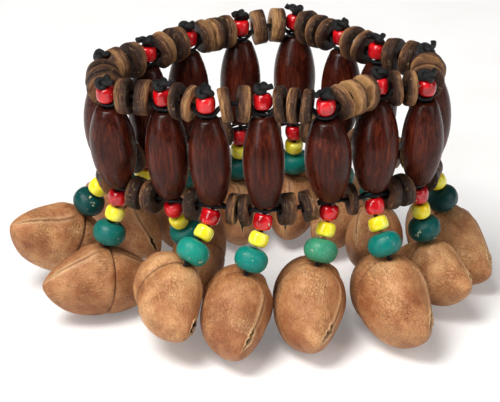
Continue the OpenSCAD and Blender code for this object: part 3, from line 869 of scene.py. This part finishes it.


# In the order of the uprights: how far each split gapes, in mm, the ways that the tips lean and the ridge
# faces round the line of the lobes, from 90 where the nut is tied, and how much darker each shell is made:
# partly the shell's own deeper tan, partly painted shade on the nuts that the lamps light less
nut_gapes = (1.7, 2.0, 2.0, 2.0, 1.8, 1.2, 1.4, 1.3, 1.5, 1.2, 1.6, 0.5, 0.5, 1.3, 3.2)
lean_ways = (20, 20, 20, 30, 40, 60, 90, 90, 90, 90, 60, 60, 60, 60, 20)
ridge_ways = (42, 28, 24, 34, 40, 60, 90, 90, 90, 90, 60, 60, 66, 60, 30)
nut_tans_and_shade = (0.5, 0.32, 0.28, 0.0, 0.0, 0.2, 0.2, 0.25, 0.2, 0.2, 0.2, 0.1, 0.5, 0.3, 0.0)
for i in range(PILLARS):
    node = "nutshell_" + number(i)
    points = corners(node)
    across = -unit(np.array(joint["nutshell_rock_" + number(i)]["axis"]))
    flat = points - np.outer(points @ across, across)
    lobes = np.linalg.eigh(np.cov(flat.T))[1][:, 2]
    lobes = unit(lobes - across * (lobes @ across))
    if np.cross(lobes, across) @ (tie[i] - points.mean(axis=0)) < 0:
        lobes = -lobes
    up = np.cross(lobes, across)
    long = points @ lobes
    size = (long.max() - long.min()) / (2 * nut_half_l * MM)
    spot = tie[i] - up * size * nut_half_h * MM
    place = Matrix([
        [*row, s] for row, s in zip(np.column_stack((lobes, across, up)) * size, spot)
    ] + [[0, 0, 0, 1]])
    shape, marks = nut_shape(i + 1, lean_ways[i], ridge_ways[i], nut_gapes[i], nut_tans_and_shade[i])
    made = gather(
        node + "_dried", [placed(shape, place, (i * 0.61) % 1, 0, marks)],
        [nutshell, shell_inside_shade, shell_edge], "shell_" + number(i), node,
    )
    wall = made.modifiers.new("wall", "SOLIDIFY")
    wall.thickness = nut_wall * size * MM
    wall.offset = -1.0
    wall.material_offset = 1
    wall.material_offset_rim = 2

# Table, light and camera
# A plain white table under a wide soft lamp and two soft fills. The bracelet stands on it, and is seen from
# the front and a little above, through a long lens.

tabletop = bpy.data.materials.new("tabletop")
tabletop.use_nodes = True
tree = tabletop.node_tree
shader = tree.nodes["Principled BSDF"]
dust = put(tree, "TexNoise", {
    "Vector": put(tree, "NewGeometry").outputs["Position"], "Scale": 40.0, "Detail": 3.0,
}).outputs["Fac"]
paper = shade_by(tree, dust, [(0.3, tint(233, 232, 231)), (0.7, tint(238, 238, 238))])
tree.links.new(paper, shader.inputs["Base Color"])
shader.inputs["Roughness"].default_value = 0.9
shader.inputs["Specular IOR Level"].default_value = 0.1
# The table looks white to the eye and in the beads' gloss, and lights nothing
ray = put(tree, "LightPath").outputs
seen = put(tree, "Math", {0: ray["Is Glossy Ray"], 1: ray["Is Transmission Ray"]}, operation="MAXIMUM")
seen = put(tree, "Math", {0: ray["Is Camera Ray"], 1: seen.outputs[0]}, operation="MAXIMUM").outputs[0]
shader.inputs["Emission Color"].default_value = (1.0, 1.0, 1.0, 1.0)
tree.links.new(times(tree, seen, 0.18), shader.inputs["Emission Strength"])
bpy.ops.mesh.primitive_grid_add(x_subdivisions=4, y_subdivisions=4, size=6.0, location=(0.0, 0.0, 0.0))
table = bpy.context.object
table.name = "table"
table.data.materials.append(tabletop)


def soft_lamp(name, spot, aim, wide, tall, power, colour):
    light = bpy.data.lights.new(name, "AREA")
    light.shape = "RECTANGLE"
    light.size, light.size_y = wide, tall
    light.energy = power
    light.color = colour
    made = bpy.data.objects.new(name, light)
    made.location = spot
    made.rotation_euler = (Vector(aim) - Vector(spot)).to_track_quat("-Z", "Y").to_euler()
    bpy.context.scene.collection.objects.link(made)


soft_lamp("over_lamp", (-0.38, -0.35, 1.0), (0.0, 0.0, 0.03), 0.55, 0.55, 13.0, (1.0, 0.985, 0.96))
soft_lamp("left_fill", (-0.7, -0.8, 0.55), (0.0, 0.0, 0.04), 0.35, 0.7, 4.1, (1.0, 0.99, 0.98))
soft_lamp("right_fill", (0.8, -0.45, 0.5), (0.0, 0.0, 0.04), 0.35, 0.9, 2.7, (1.0, 0.99, 0.98))

world = bpy.data.worlds.new("studio")
bpy.context.scene.world = world
world.use_nodes = True
world.node_tree.nodes["Background"].inputs["Color"].default_value = (1.0, 1.0, 1.0, 1.0)
world.node_tree.nodes["Background"].inputs["Strength"].default_value = 0.13

view = bpy.data.cameras.new("photo_view")
view.sensor_width = 36.0
view.lens = 36.0 * 2016 / 500
view.clip_start = 0.01
eye = bpy.data.objects.new("photo_view", view)
aim = Vector((-0.3, -19.0, 35.7)) * MM
lift = math.radians(26)
eye.location = aim + Vector((0.0, -math.cos(lift), math.sin(lift))) * 0.52
eye.rotation_euler = (math.pi / 2 - lift, 0.0, 0.0)
bpy.context.scene.collection.objects.link(eye)
bpy.context.scene.camera = eye
bpy.context.scene.view_settings.view_transform = "Standard"
